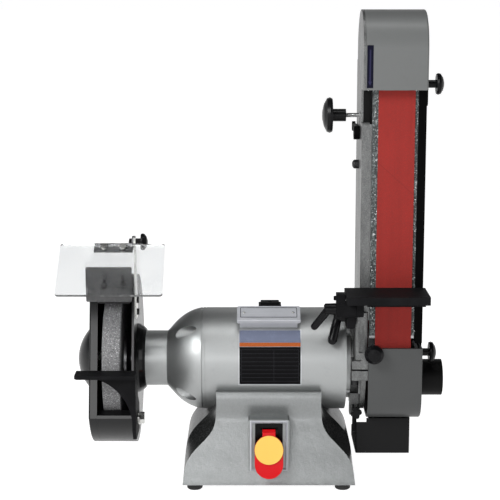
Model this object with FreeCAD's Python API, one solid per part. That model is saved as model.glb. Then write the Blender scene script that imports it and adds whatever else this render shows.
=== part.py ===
"""Bench grinder with an upright belt sander, one node per separate piece.

Frame: millimetres, +Z up, +X to the operator's right along the spindle, the operator stands at -Y.
The origin is the centre of the four bench bolts, in the plane of the bench top.
"""
import FreeCAD
import Part

import math
import os

V = FreeCAD.Vector
X_DIR, Y_DIR, Z_DIR = V(1, 0, 0), V(0, 1, 0), V(0, 0, 1)

# ---------------------------------------------------------------- driving dimensions
AXIS_Z = 168.0              # spindle height above the bench
MOTOR_R = 74.0              # motor barrel
MOTOR_WALL = 4.5
MOTOR_LEFT, MOTOR_RIGHT = -95.0, 110.5
NECK_R = 40.0               # neck of the left end bell
NECK_END = -184.0
RIGHT_NECK_R = 42.0         # register that the belt arm clamps on
RIGHT_NECK_START, RIGHT_NECK_END = 117.0, 130.5
SHAFT_R = 7.94              # 5/8 inch ends
JOURNAL_R = 10.0
CORE_SHAFT_R = 14.0
BEARING_OD_R, BEARING_W, BALL_R = 23.5, 14.0, 3.97
LEFT_BEARING, RIGHT_BEARING = -169.0, 123.0

FOOT_H, FOOT_R, BOLT_HOLE_R = 10.0, 11.0, 4.5
BOLT_X, BOLT_Y = 105.0, 90.0          # half spacings of the bench bolts

WHEEL_R, WHEEL_W, WHEEL_X = 101.6, 25.4, -220.8      # 8 x 1 inch grinding wheel
GUARD_R, GUARD_WALL = 121.7, 3.0
GUARD_X0, GUARD_SEAM, GUARD_X1 = -253.0, -241.0, -190.0
MOUTH_TOP = (-61.0, 273.3)            # front opening of the wheel guard, (y, z)
MOUTH_LOW = (-105.0, 106.4)

BELT_W, BELT_T = 50.8, 1.2            # 2 x 48 inch abrasive belt
BELT_X = 175.8
DRIVE_R, IDLER_R = 63.5, 38.1         # 5 and 3 inch pulleys
DRIVE_GAP, IDLER_GAP = 0.4, 0.6       # the belt stands off the rigid pulleys by this
IDLER_RISE = 448.5
LOOP_R1, LOOP_R2 = DRIVE_R + DRIVE_GAP, IDLER_R + IDLER_GAP
IDLER_Y, IDLER_Z = LOOP_R2 - LOOP_R1, AXIS_Z + IDLER_RISE

ARM_X0, ARM_WEB = 128.0, 3.0          # left face and thickness of the belt arm's web
ARM_FRONT, ARM_BACK = -62.0, 38.0
HOUSING_X1 = 217.0                    # right face of cap, side cover and lower guard
SHEET = 2.5
TAB_T = 2.0                 # tabs of the side cover, outside the cap and the lower guard
LOWER_R, CAP_R = 76.0, 55.0           # half depth of the lower guard, radius of the cap
LOWER_Z, LOWER_TOP, LOWER_CORNER = 91.4, 199.7, 36.0
POST_Y, POST_Z = -50.0, 570.0         # post that the side cover's knob screws into

TABLE_X0, TABLE_X1 = 105.8, 219.5
TABLE_Y0, TABLE_Y1 = -136.0, -67.5
TABLE_TOP, TABLE_T = 286.0, 11.0
TILT_Y, TILT_Z = -97.0, 262.0         # table tilt axis
SLIDE_Y, SLIDE_Z = -62.0, 244.0       # clamp lever of the table slide
SLIDE_TRAVEL = 10.0
TRACK_Y, TRACK_Z = -26.0, 525.0       # tracking screw
LEVER_Y, LEVER_Z = -24.0, 500.0       # tension lever pivot
SHIELD_Y, SHIELD_Z = -53.0, 348.5     # eye shield pivot
SHIELD_LEAN = 36.7                    # degrees the shield hangs down at rest
SHIELD_X0, SHIELD_X1, SHIELD_L, SHIELD_T = -291.0, -145.0, 95.0, 4.0
SHIELD_RISE = 10.5                    # top face of the glass above the pivot, before it is leaned
RIVET_XS = (-230.0, -204.0)
SLIDE_SCREW_XS = (-231.0, -205.0)     # screws that hold the spark arrestor
SLIDE_SCREW_Z = 288.0
ARM_RIVETS = ((-41.0, 246.0), (-44.0, 264.0))         # screws of the shield's arm, (y, z)

# Half widths and depths of the base casting by height: z, front x, front y, middle x, middle y.
BASE_SECTIONS = [
    (10, 122, 108, 122.5, 62), (25, 120.3, 103, 121, 60), (45, 113.5, 96.3, 119, 56),
    (60, 101, 91, 116, 54), (75, 86, 86.3, 108, 52), (90, 77, 81.3, 94, 50),
    (104, 75, 78, 81, 48), (137, 74.6, 78, 75, 46),
]
BASE_WALL = 7.0
SWITCH_FRONT = -102.0
SWITCH_HALF_W, SWITCH_Z0, SWITCH_Z1 = 19.5, 34.0, 100.0
PADDLE_Y, PADDLE_Z, PADDLE_LEAN = -98.5, 86.0, 16.0   # hinge of the stop paddle, and its lean
KEY_R, KEY_DROP = 20.0, 26.0          # disc of the safety key, and its centre below the hinge
CAPACITOR_R, CAPACITOR_Y, CAPACITOR_Z = 17.5, 40.0, 40.0
GLAND_X, GLAND_Z = 60.0, 45.0

# Left end bell: (x, r) of its curve from the barrel to the neck.
BELL = [(-95, 74), (-104, 72.2), (-114, 68.3), (-125, 61.5), (-134, 53.6), (-141, 45.8), (-146.5, NECK_R)]
TIE_ANGLES = [131.0, 41.0, -49.0, -139.0]             # tie bolts, degrees from +Y towards +Z
TIE_R = 63.5
BALL_PITCH = 16.75
STATOR_HALF_L, STATOR_SLOTS = 45.0, 24
BADGE_TILT, BADGE_HALF_W, BADGE_H, BADGE_R = 58.0, 45.0, 31.0, 90.0
SCREW_ANGLES = [75.0, 20.0, -65.0]    # screws of the guard's cover, degrees from +Y towards +Z
SCREW_R = 110.5
DOME_R, DOME_H, DOME_T = 50.0, 24.0, 3.0
REST_BOLT, REST_TRAVEL = (-88.0, 103.0), 15.0

CAP_LIP = 563.0                       # lower edge of the cap
GUARD_KNOB = (147.5, 194.5)           # (x, z) of the knob on the lower guard's front
LOWER_KNOB = (-30.0, 184.0)           # (y, z) of the side cover's lower knob
PORT, PORT_R = (0.0, 139.0), 26.3     # dust port, (y, z)
TRAY_SCREW = (126.8, 96.5)            # (x, z)
TRAY_Z = 37.5                         # underside of the spark tray
CLAMP_X, CLAMP_Y = 122.4, -62.0       # bolt that closes the arm's collar
SET_SCREW_X = 124.0                   # locks the collar on the motor's register
PLATEN_X0, PLATEN_X1 = 142.3, 205.4
LUG_ZS = (300.0, 470.0)               # lugs that carry the platen
LEAN_X, LEAN_Z = 143.0, 575.0         # the idler axle leans about this pin to track the belt
SPRING_Z, SPRING_SPREAD = 476.7, 12.0

OUT = "parts"
os.makedirs(OUT, exist_ok=True)


# ---------------------------------------------------------------- helpers
def box(x0, x1, y0, y1, z0, z1):
    return Part.makeBox(x1 - x0, y1 - y0, z1 - z0, V(x0, y0, z0))


def cyl_x(r, x0, x1, y=0.0, z=AXIS_Z):
    return Part.makeCylinder(r, x1 - x0, V(x0, y, z), X_DIR)


def cyl_y(r, y0, y1, x, z):
    return Part.makeCylinder(r, y1 - y0, V(x, y0, z), Y_DIR)


def cyl_z(r, z0, z1, x, y):
    return Part.makeCylinder(r, z1 - z0, V(x, y, z0), Z_DIR)


def ring_x(r_out, r_in, x0, x1, y=0.0, z=AXIS_Z):
    return cyl_x(r_out, x0, x1, y, z).cut(cyl_x(r_in, x0 - 1, x1 + 1, y, z))


def polygon(points):
    return Part.Face(Part.makePolygon(list(points) + [points[0]]))


def prism_x(yz, x0, x1):
    """Straight-sided outline of (y, z) points, extruded along X."""
    return polygon([V(x0, y, z) for y, z in yz]).extrude(V(x1 - x0, 0, 0))


def turned(profile, y=0.0, z=AXIS_Z):
    """Solid of revolution about X from (x, r) points."""
    face = polygon([V(x, y, z + r) for x, r in profile])
    return face.revolve(V(0, y, z), X_DIR, 360)


def turned_y(profile, x, z):
    """Solid of revolution about Y from (y, r) points."""
    face = polygon([V(x, y, z + r) for y, r in profile])
    return face.revolve(V(x, 0, z), Y_DIR, 360)


def hex_x(across_flats, x0, x1, y, z):
    r = across_flats / math.sqrt(3)
    pts = [
        (y + r * math.cos(math.radians(a)), z + r * math.sin(math.radians(a)))
        for a in range(0, 360, 60)
    ]
    return prism_x(pts, x0, x1)


def fuse(*shapes):
    made = shapes[0]
    for s in shapes[1:]:
        made = made.fuse(s)
    return made.removeSplitter()


def cut(shape, *tools):
    for t in tools:
        shape = shape.cut(t)
    return shape


def rounded(shape, radius, pick):
    """Fillets the edges that pick(edge) accepts, and keeps the plain shape where the kernel can't."""
    edges = [e for e in shape.Edges if pick(e)]
    if not edges:
        return shape
    try:
        made = shape.makeFillet(radius, edges)
    except Exception:
        return shape
    good = made.isValid() and made.Volume > 0.5 * shape.Volume
    return made if good else shape


def along(axis):
    """Accepts straight edges parallel to an axis."""
    def pick(edge):
        if not isinstance(edge.Curve, Part.Line) or len(edge.Vertexes) < 2:
            return False
        d = edge.Vertexes[1].Point.sub(edge.Vertexes[0].Point)
        return d.Length > 1e-6 and abs(abs(d.normalize().dot(axis)) - 1) < 1e-6
    return pick


def belt_face(r1, r2, x):
    """Loop around the two pulleys, with its front run upright: a face in the plane of x."""
    dy, dz = IDLER_Y, IDLER_RISE
    reach = math.hypot(dy, dz)
    front = math.pi
    back = math.atan2(dz, dy) - math.acos((r1 - r2) / reach)

    def at(r, cz, cy, a):
        return V(x, cy + r * math.cos(a), cz + r * math.sin(a))

    c1, c2 = (AXIS_Z, 0.0), (IDLER_Z, IDLER_Y)
    low_f, low_b = at(r1, *c1, front), at(r1, *c1, back)
    top_f, top_b = at(r2, *c2, front), at(r2, *c2, back)
    edges = [
        Part.Arc(low_f, at(r1, *c1, (front + back) / 2 + math.pi), low_b).toShape(),
        Part.LineSegment(low_b, top_b).toShape(),
        Part.Arc(top_b, at(r2, *c2, (front + back) / 2), top_f).toShape(),
        Part.LineSegment(top_f, low_f).toShape(),
    ]
    return Part.Face(Part.Wire(edges))


def knob_x(x_face, x_head, x_tip, stud_r, x_stud, head_r, stem_r, y, z):
    """Mushroom knob on an X axis: stud from x_stud to x_face, stem to x_head, head to x_tip."""
    s = 1.0 if x_tip > x_face else -1.0
    head = x_tip - x_head
    profile = [
        (x_stud, 0), (x_stud, stud_r), (x_face, stud_r), (x_face, stem_r), (x_head, stem_r),
        (x_head, head_r * 0.93), (x_head + head * 0.25, head_r), (x_head + head * 0.55, head_r * 0.94),
        (x_head + head * 0.85, head_r * 0.62), (x_tip, head_r * 0.25), (x_tip, 0),
    ]
    return turned(profile if s > 0 else list(reversed(profile)), y, z)


def ball_ring(x, count=8):
    return [
        Part.makeSphere(BALL_R, V(x, BALL_PITCH * math.cos(a), AXIS_Z + BALL_PITCH * math.sin(a)))
        for a in [2 * math.pi * i / count for i in range(count)]
    ]


def bearing_race(x, r_out, r_in):
    groove = Part.makeTorus(BALL_PITCH, BALL_R + 0.08, V(x, 0, AXIS_Z), X_DIR)
    return cut(ring_x(r_out, r_in, x - BEARING_W / 2, x + BEARING_W / 2), groove)


NODES = {}


def node(name, *solids):
    """Records a node made of one or more separate solids."""
    NODES[name] = [s for shape in solids for s in shape.Solids]


# ---------------------------------------------------------------- base
def base_section(z, fx, fy, mx, my, inset=0.0):
    fx, fy, mx = fx - inset, fy - inset, mx - inset
    pts = [(-fx, -fy), (fx, -fy), (mx, -my), (mx, my), (fx, fy), (-fx, fy), (-mx, my), (-mx, -my)]
    pts = [V(x, y, z) for x, y in pts]
    return Part.makePolygon(pts + [pts[0]])


def make_base():
    body = Part.makeLoft([base_section(*s) for s in BASE_SECTIONS], True, False)
    inside_rows = [(z, fx, fy, mx, my, BASE_WALL) for z, fx, fy, mx, my in BASE_SECTIONS if z <= 75]
    first = (9.0,) + inside_rows[0][1:]
    last = (86.0,) + tuple(
        a + (b - a) * 0.7 for a, b in zip(BASE_SECTIONS[4][1:], BASE_SECTIONS[5][1:])
    ) + (BASE_WALL,)
    hollow = Part.makeLoft([base_section(*s) for s in [first] + inside_rows[1:] + [last]], True, False)
    corners = [(sx * BOLT_X, sy * BOLT_Y) for sx in (-1, 1) for sy in (-1, 1)]
    lugs = [cyl_z(13.0, 10, 22, x, y) for x, y in corners]
    frame = box(-29, 29, SWITCH_FRONT, -70, 27, 104)
    frame = rounded(frame, 3.0, along(Y_DIR))
    shell = body.cut(hollow)
    inner_lugs = [lug.common(body) for lug in lugs]
    shell = fuse(shell, frame.cut(hollow), *inner_lugs)
    holes = [cyl_z(BOLT_HOLE_R, 5, 40, x, y) for x, y in corners]
    holes += [cyl_z(12.0, 22, 40, x, y) for x, y in corners if y > 0]
    window = box(-SWITCH_HALF_W, SWITCH_HALF_W, -120, -90, SWITCH_Z0, SWITCH_Z1)
    throat = box(-15, 15, -95, -60, 44, 91)
    saddle = cyl_x(MOTOR_R + 0.05, -140, 140)
    gland_hole = cyl_y(9.0, 60, 120, GLAND_X, GLAND_Z)
    shell = cut(shell, saddle, window, throat, gland_hole, *holes)
    shell = max(shell.Solids, key=lambda s: s.Volume)
    node("base_casting", shell)
    node("rubber_feet", *[
        cut(turned_foot(x, y), cyl_z(BOLT_HOLE_R, -1, FOOT_H + 1, x, y)) for x, y in corners
    ])


def turned_foot(x, y):
    face = polygon(
        [
            V(x, y, 0), V(x + FOOT_R - 1.5, y, 0), V(x + FOOT_R, y, 1.5), V(x + FOOT_R, y, FOOT_H),
            V(x, y, FOOT_H),
        ]
    )
    return face.revolve(V(x, y, 0), Z_DIR, 360)


def make_switch():
    plate = box(-SWITCH_HALF_W + 0.3, SWITCH_HALF_W - 0.3, -96, -90, SWITCH_Z0 + 0.3, SWITCH_Z1 - 0.3)
    plate = rounded(plate, 1.5, along(Y_DIR))
    body = box(-14, 14, -90, -64, 45, 90)
    hinge_y, hinge_z = PADDLE_Y, PADDLE_Z
    pivot_gap = box(-9.6, 9.6, -100, -93, hinge_z - 9, hinge_z + 4)
    ears = [box(x, x + 3, hinge_y - 3.2, -95, hinge_z - 3.4, hinge_z + 3.4) for x in (-12.6, 9.6)]
    node("switch_plate", cut(fuse(plate, body, *ears), pivot_gap, cyl_x(1.56, -14, 14, hinge_y, hinge_z)))

    def swung(shape):
        shape.rotate(V(0, hinge_y, hinge_z), X_DIR, -PADDLE_LEAN)
        return shape

    def outline(r, z_top, z_disc, z_low):
        return fuse(
            cyl_y(r, hinge_y - 9, hinge_y - 2, 0, hinge_z + z_disc),
            box(-r + 0.6, r - 0.6, hinge_y - 9, hinge_y - 2, hinge_z + z_low, hinge_z + z_disc),
            cyl_y(r - 0.6, hinge_y - 9, hinge_y - 2, 0, hinge_z + z_low),
            box(-9, 9, hinge_y - 9, hinge_y - 2, hinge_z + z_disc, hinge_z + z_top),
        )

    paddle = outline(KEY_R + 0.5, -1.5, -KEY_DROP, -46.0)
    neck = fuse(
        box(-9, 9, hinge_y - 9, hinge_y + 3, hinge_z - 8, hinge_z - 1.5),
        cyl_x(3.0, -9, 9, hinge_y, hinge_z),
        cyl_x(1.5, -12.4, 12.4, hinge_y, hinge_z),
    )
    key_seat = cyl_y(KEY_R + 0.2, hinge_y - 12, hinge_y - 6.2, 0, hinge_z - KEY_DROP)
    key_slot = box(-4.2, 4.2, hinge_y - 8, hinge_y - 3.5, hinge_z - 38, hinge_z - 20)
    neck_seat = box(-7.8, 7.8, hinge_y - 12, hinge_y - 6.2, hinge_z - 20, hinge_z - 8)
    node("switch_paddle", swung(cut(fuse(paddle, neck), key_seat, key_slot, neck_seat)))
    key = fuse(
        cyl_y(KEY_R, hinge_y - 11, hinge_y - 6.4, 0, hinge_z - KEY_DROP),
        box(-7.5, 7.5, hinge_y - 11, hinge_y - 6.4, hinge_z - 20, hinge_z - 8.3),
        box(-4, 4, hinge_y - 7, hinge_y - 3.8, hinge_z - 37, hinge_z - 21),
    )
    node("safety_key", swung(key))


def make_base_fittings():
    can = cyl_x(CAPACITOR_R, -62, 10, CAPACITOR_Y, CAPACITOR_Z)
    node("capacitor", can, *[cyl_x(3, 10, 16, CAPACITOR_Y + dy, CAPACITOR_Z) for dy in (-7, 7)])
    gland = fuse(
        cyl_y(8.9, 78, 102, GLAND_X, GLAND_Z), cyl_y(12.0, 102.5, 108, 60, 45),
        cyl_y(9.5, 92, 124, GLAND_X, GLAND_Z),
    )
    waist = cyl_y(14, 92, 102.4, GLAND_X, GLAND_Z).cut(cyl_y(8.9, 91, 104, GLAND_X, GLAND_Z))
    node("cord_gland", cut(gland, cyl_y(4.0, 70, 130, GLAND_X, GLAND_Z), waist))


# ---------------------------------------------------------------- motor
def tie_places():
    return [
        (TIE_R * math.cos(math.radians(a)), AXIS_Z + TIE_R * math.sin(math.radians(a)))
        for a in TIE_ANGLES
    ]


def bell_solid(rows, x_neck, r_neck, x_start):
    """Solid under a smooth bell curve through (x, r) rows, closed on the axis."""
    pts = [V(x, 0, AXIS_Z + r) for x, r in rows]
    curve = Part.BSplineCurve()
    curve.interpolate(pts)
    end = V(x_neck, 0, AXIS_Z + r_neck)
    edges = [
        curve.toShape(),
        Part.LineSegment(
            pts[-1], V(pts[-1].x, 0, AXIS_Z + r_neck),
        ).toShape() if abs(rows[-1][1] - r_neck) > 1e-6 else None,
        Part.LineSegment(V(pts[-1].x, 0, AXIS_Z + r_neck), end).toShape(),
        Part.LineSegment(end, V(x_neck, 0, AXIS_Z)).toShape(),
        Part.LineSegment(V(x_neck, 0, AXIS_Z), V(x_start, 0, AXIS_Z)).toShape(),
        Part.LineSegment(V(x_start, 0, AXIS_Z), V(x_start, 0, AXIS_Z + rows[0][1])).toShape(),
    ]
    wire = Part.Wire([e for e in edges if e is not None])
    return Part.Face(wire).revolve(V(0, 0, AXIS_Z), X_DIR, 360)


def make_motor():
    shell = ring_x(MOTOR_R, MOTOR_R - MOTOR_WALL, MOTOR_LEFT + 0.6, MOTOR_RIGHT)
    groove = ring_x(MOTOR_R + 2, MOTOR_R - 0.9, MOTOR_LEFT + 4, MOTOR_LEFT + 5.2)
    node("motor_shell", cut(shell, groove))

    outer = bell_solid(BELL, NECK_END, NECK_R, BELL[0][0])
    inner_rows = [(x + 0.5, r - 5.0) for x, r in BELL]
    inner = bell_solid(inner_rows, -158.0, NECK_R - 12, BELL[0][0] + 0.5)
    bosses = [cyl_x(13.0, -140, -95, y, z).common(outer) for y, z in tie_places()]
    spigot = ring_x(MOTOR_R - MOTOR_WALL - 0.1, MOTOR_R - MOTOR_WALL - 4, -95, -88)
    bell = fuse(outer.cut(inner), *bosses, spigot)
    rim = MOTOR_R + 1
    bell = cut(
        bell, cyl_x(rim, -96.0, -94.4).cut(cyl_x(MOTOR_R - 1.2, -97, -93)),
        cyl_x(BEARING_OD_R, LEFT_BEARING - BEARING_W / 2, -150), cyl_x(12.0, -190, -150),
        cyl_x(JOURNAL_R + 7, LEFT_BEARING + BEARING_W / 2, -140),
        *[cyl_x(8.8, -150, -101, y, z) for y, z in tie_places()],
        *[cyl_x(3.2, -120, -80, y, z) for y, z in tie_places()],
    )
    node("end_bell_left", max(bell.Solids, key=lambda s: s.Volume))

    plate = fuse(
        cyl_x(MOTOR_R - MOTOR_WALL - 0.1, MOTOR_RIGHT - 9, MOTOR_RIGHT),
        cyl_x(58, MOTOR_RIGHT, RIGHT_NECK_START),
        cyl_x(RIGHT_NECK_R, RIGHT_NECK_START, RIGHT_NECK_END), cyl_x(30, 96, 104),
    )
    plate = cut(
        plate, cyl_x(BEARING_OD_R, 90, RIGHT_BEARING + BEARING_W / 2), cyl_x(12.0, 120, 140),
        *[cyl_x(3.2, 95, 120, y, z) for y, z in tie_places()],
        *[cyl_x(7.0, MOTOR_RIGHT - 4, 120, y, z) for y, z in tie_places()],
    )
    node("end_bell_right", plate)
    node("tie_bolts", *[
        cut(fuse(hex_x(9.5, -107.0, -101.1, y, z), cyl_x(2.75, -102, MOTOR_RIGHT - 1, y, z),
            hex_x(9.5, MOTOR_RIGHT - 3.8, MOTOR_RIGHT - 0.4, y, z)),
            cyl_x(0.4, -108, -107.5, y, z))
        for y, z in tie_places()
    ])

    stator = ring_x(MOTOR_R - MOTOR_WALL - 0.1, 40.2, -STATOR_HALF_L, STATOR_HALF_L)
    slots = []
    for i in range(STATOR_SLOTS):
        slot = box(-46, 46, -2.2, 2.2, AXIS_Z + 44, AXIS_Z + 56)
        slot.rotate(V(0, 0, AXIS_Z), X_DIR, 360 / STATOR_SLOTS * (i + 0.5))
        slots.append(slot)
    stator = cut(stator, Part.makeCompound(slots), *[cyl_x(3.2, -50, 50, y, z) for y, z in tie_places()])
    node("stator_core", stator)
    coil = [(0, 43), (3, 42), (20, 43), (26, 47), (26, 55), (20, 59), (3, 60), (0, 58)]
    node(
        "stator_windings", turned([(45.3 + x, r) for x, r in coil]),
        turned([(-45.3 - x, r) for x, r in reversed(coil)]),
    )
    rotor = fuse(ring_x(39.7, CORE_SHAFT_R, -45, 45), ring_x(37, 26, -52, -45), ring_x(37, 26, 45, 52))
    node("rotor_core", rotor)

    node("shaft", turned([
        (-257, 0), (-257, SHAFT_R - 1), (-256, SHAFT_R), (-200, SHAFT_R), (-200, JOURNAL_R),
        (-150, JOURNAL_R),
        (-150, CORE_SHAFT_R), (104, CORE_SHAFT_R), (104, JOURNAL_R), (146, JOURNAL_R), (146, SHAFT_R),
        (211, SHAFT_R), (212, SHAFT_R - 1), (212, 0),
    ]))
    node(
        "bearing_outer_rings",
        *[bearing_race(x, BEARING_OD_R - 0.02, 19.6) for x in (LEFT_BEARING, RIGHT_BEARING)],
    )
    node("bearing_inner_rings", *[bearing_race(x, 13.9, JOURNAL_R) for x in (LEFT_BEARING, RIGHT_BEARING)])
    node("bearing_balls", *ball_ring(LEFT_BEARING), *ball_ring(RIGHT_BEARING))


def make_motor_trim():
    r0, r1 = BADGE_R - 4.0, BADGE_R
    z0, z1 = AXIS_Z - BADGE_H / 2, AXIS_Z + BADGE_H / 2
    plate = box(-BADGE_HALF_W, BADGE_HALF_W, -r1, -r0, z0, z1)
    plate = rounded(plate, 2.5, along(Y_DIR))
    ledge = rounded(box(-BADGE_HALF_W, BADGE_HALF_W, -r1 - 2.0, -r0 - 1, z0, z0 + 5.0), 0.9, along(X_DIR))
    pedestal = box(-BADGE_HALF_W + 4, BADGE_HALF_W - 4, -r0 - 0.5, -MOTOR_R + 6, AXIS_Z - 11, AXIS_Z + 12)
    badge = fuse(plate, ledge, pedestal)
    badge.rotate(V(0, 0, AXIS_Z), X_DIR, -BADGE_TILT)
    node("motor_badge", cut(badge, cyl_x(MOTOR_R + 0.03, -60, 60)))
    pad = fuse(box(-14, 18.5, -12, 12, 238, 249), box(-11, 15.5, -9, 9, 249, 252.5))
    node("lifting_pad", cut(pad, cyl_x(MOTOR_R + 0.03, -60, 60), cyl_z(4.0, 246, 260, 2.2, 0)))


# ---------------------------------------------------------------- grinding wheel, its guard and shield
def guard_outline(r, x0, x1, inset=0.0):
    """Guard disc of radius r with its front cut off along the mouth."""
    (y1, z1), (y2, z2) = MOUTH_TOP, MOUTH_LOW
    length = math.hypot(y2 - y1, z2 - z1)
    ny, nz = (z2 - z1) / length, -(y2 - y1) / length      # points forward, out of the mouth
    ty, tz = (y2 - y1) / length, (z2 - z1) / length
    if ny > 0:
        ny, nz = -ny, -nz
    a = (y1 - ty * 120 - ny * inset, z1 - tz * 120 - nz * inset)
    b = (y2 + ty * 120 - ny * inset, z2 + tz * 120 - nz * inset)
    cutter = prism_x(
        [a, b, (b[0] + ny * 90, b[1] + nz * 90), (a[0] + ny * 90, a[1] + nz * 90)], x0 - 5, x1 + 5,
    )
    return cyl_x(r, x0, x1).cut(cutter)


def screw_places():
    return [
        (SCREW_R * math.cos(math.radians(a)), AXIS_Z + SCREW_R * math.sin(math.radians(a)))
        for a in SCREW_ANGLES
    ]


def make_wheel_guard():
    wall = guard_outline(GUARD_R, GUARD_SEAM, GUARD_X1).cut(
        guard_outline(GUARD_R - GUARD_WALL, GUARD_SEAM - 1, GUARD_X1 - GUARD_WALL, -20)
    )
    hub = turned(
        [
            (GUARD_X1 - 1, 30), (GUARD_X1 - 1, 51), (GUARD_X1 + 4, 49.5), (GUARD_X1 + 9, 46),
            (GUARD_X1 + 12.5, 42.5), (GUARD_X1 + 12.5, 30),
        ]
    )
    angle = math.atan2(MOUTH_LOW[1] - AXIS_Z, MOUTH_LOW[0])
    lip = box(GUARD_SEAM, GUARD_X1 - 1, -GUARD_R + 0.3, -GUARD_R + 16.5, AXIS_Z - 3.0, AXIS_Z)
    lip.rotate(V(0, 0, AXIS_Z), X_DIR, math.degrees(angle) + 180.0)
    pad = prism_x([(-65.6, 296), (-65.6, 263), (-56, 263), (-46, 281), (-56, 296)], -240, -196)
    bosses = [cyl_x(6.5, GUARD_SEAM, GUARD_X1 - 1, y, z) for y, z in screw_places()]
    body = fuse(wall, hub, lip, pad, *bosses)
    body = cut(
        body, cyl_x(NECK_R + 0.05, GUARD_X1, GUARD_X1 + 30), cyl_x(25, GUARD_X1 - 20, GUARD_X1 + 5),
        *[cyl_x(2.6, GUARD_SEAM - 1, -215, y, z) for y, z in screw_places()],
        *[cyl_y(2.1, -70, -58, x, SLIDE_SCREW_Z) for x in SLIDE_SCREW_XS],
        cyl_x(4.2, -196, -188, *REST_BOLT), *[cyl_x(2.1, -194, -189, y, z) for y, z in ARM_RIVETS],
    )
    node("guard_body", body)

    x0, x1 = GUARD_X0, GUARD_SEAM - 0.15
    dish = guard_outline(GUARD_R, x0, x1).cut(
        guard_outline(GUARD_R - GUARD_WALL, x0 + GUARD_WALL, x1 + 2, 3.0)
    )
    cap = spherical_cap(DOME_R, DOME_H)
    hollow = spherical_cap(DOME_R - DOME_T, DOME_H - 1.0, DOME_T)
    dish = fuse(dish, cap).cut(hollow)
    bosses = [cyl_x(6.5, x0 + 1, x1, y, z) for y, z in screw_places()]
    dish = fuse(dish, *bosses)
    dish = rounded_rim(dish)
    node("guard_cover", cut(dish, *[cyl_x(2.9, x0 - 5, x1 + 5, y, z) for y, z in screw_places()]))
    cover_screws = [
        fuse(
            cyl_x(5.2, x0 - 3.6, x0 - 0.05, y, z), cyl_x(2.4, x0 - 1, -222, y, z),
        ).cut(hex_x(4.5, x0 - 5, x0 - 1.4, y, z))
        for y, z in screw_places()
    ]
    slide_screws = [
        fuse(
            cyl_y(5.0, -72.4, -68.6, x, SLIDE_SCREW_Z), cyl_y(2.0, -69, -58.5, x, SLIDE_SCREW_Z),
        ).cut(box(x - 6, x + 6, -74, -71.4, SLIDE_SCREW_Z - 0.6, SLIDE_SCREW_Z + 0.6))
        for x in SLIDE_SCREW_XS
    ]
    arm_screws = [
        fuse(cyl_x(4.6, -187.25, -184.4, y, z), cyl_x(2.0, -193.5, -186.5, y, z)) for y, z in ARM_RIVETS
    ]
    node("guard_screws", *cover_screws, *slide_screws, *arm_screws)


def spherical_cap(r, h, shift=0.0):
    """Dome over the spindle end, bulging towards -X from the cover's face."""
    radius = (r * r + h * h) / (2 * h)
    ball = Part.makeSphere(radius, V(GUARD_X0 - h + shift + radius, 0, AXIS_Z))
    return ball.common(cyl_x(r, GUARD_X0 - h - 5, GUARD_X0 + shift + 0.6))


def rounded_rim(dish):
    def outer_circle(edge):
        return abs(
            edge.BoundBox.XMin - GUARD_X0
        ) < 1e-3 and abs(edge.BoundBox.XMax - GUARD_X0) < 1e-3 and edge.Length > 150
    return rounded(dish, 2.4, outer_circle)


def make_wheel():
    x0, x1 = WHEEL_X - WHEEL_W / 2, WHEEL_X + WHEEL_W / 2
    node("grinding_wheel", turned([
        (x0, SHAFT_R + 0.02), (x0, WHEEL_R - 1.2), (x0 + 1.2, WHEEL_R), (x1 - 1.2, WHEEL_R),
        (x1, WHEEL_R - 1.2), (x1, SHAFT_R + 0.02),
    ]))

    def flange(inner, outward):
        d = 1 if outward > 0 else -1
        rows = [
            (0, SHAFT_R + 0.02), (1.5, SHAFT_R + 0.02), (1.5, 26), (0, 26), (0, 38), (3.5, 38),
            (7.8, 20), (7.8, SHAFT_R + 0.02),
        ]
        rows = [(inner + d * a, r) for a, r in rows]
        return turned(rows if d > 0 else list(reversed(rows)))

    node("wheel_flanges", flange(x0, -1), flange(x1, 1))
    left_nut = cut(hex_x(24, x0 - 18.0, x0 - 7.9, 0, AXIS_Z), cyl_x(SHAFT_R + 0.01, -270, -230))
    right_nut = cut(hex_x(24, 203.3, 210.0, 0, AXIS_Z), cyl_x(SHAFT_R + 0.01, 190, 215))
    node("spindle_nuts", left_nut, right_nut)


def make_tool_rest():
    top = prism_plate()
    leg = prism_x(
        [(-128, 171), (-128, 96), (-116, 80), (-62, 80), (-62, 118), (-84, 134), (-102, 168), (-104, 171)],
        -189.6, -184.6,
    )
    leg = cut(leg, slot_x(4.3, REST_BOLT[0], REST_BOLT[0] + REST_TRAVEL + 3, REST_BOLT[1], -192, -180))
    arc = Part.Arc(V(-242, -128, 170.8), V(-208, -128, 150), V(-189.5, -128, 98)).toShape()
    lines = [
        Part.LineSegment(V(-189.5, -128, 98), V(-184.6, -128, 98)).toShape(),
        Part.LineSegment(V(-184.6, -128, 98), V(-184.6, -128, 170.8)).toShape(),
        Part.LineSegment(V(-184.6, -128, 170.8), V(-242, -128, 170.8)).toShape(),
    ]
    web = Part.Face(Part.Wire([arc] + lines)).extrude(V(0, 4.5, 0))
    node("tool_rest", fuse(top, leg, web))
    bolt = fuse(hex_x(15, -181.8, -175.4, *REST_BOLT), cyl_x(4.0, -203, -181, *REST_BOLT))
    washer = ring_x(9.5, 4.1, -184.4, -182.2, *REST_BOLT)
    nut = cut(hex_x(13, -200, -193.1, *REST_BOLT), cyl_x(4.01, -205, -190, *REST_BOLT))
    node("tool_rest_bolt", bolt, washer, nut)


def prism_plate():
    pts = [(-268.5, -104.2), (-268.5, -131), (-265, -135), (-184.6, -135), (-184.6, -104.2)]
    plate = polygon([V(x, y, 170.6) for x, y in pts]).extrude(V(0, 0, 5.0))
    return rounded(plate, 1.2, lambda e: e.BoundBox.ZMin > 175 and e.BoundBox.YMax < -130)


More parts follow.
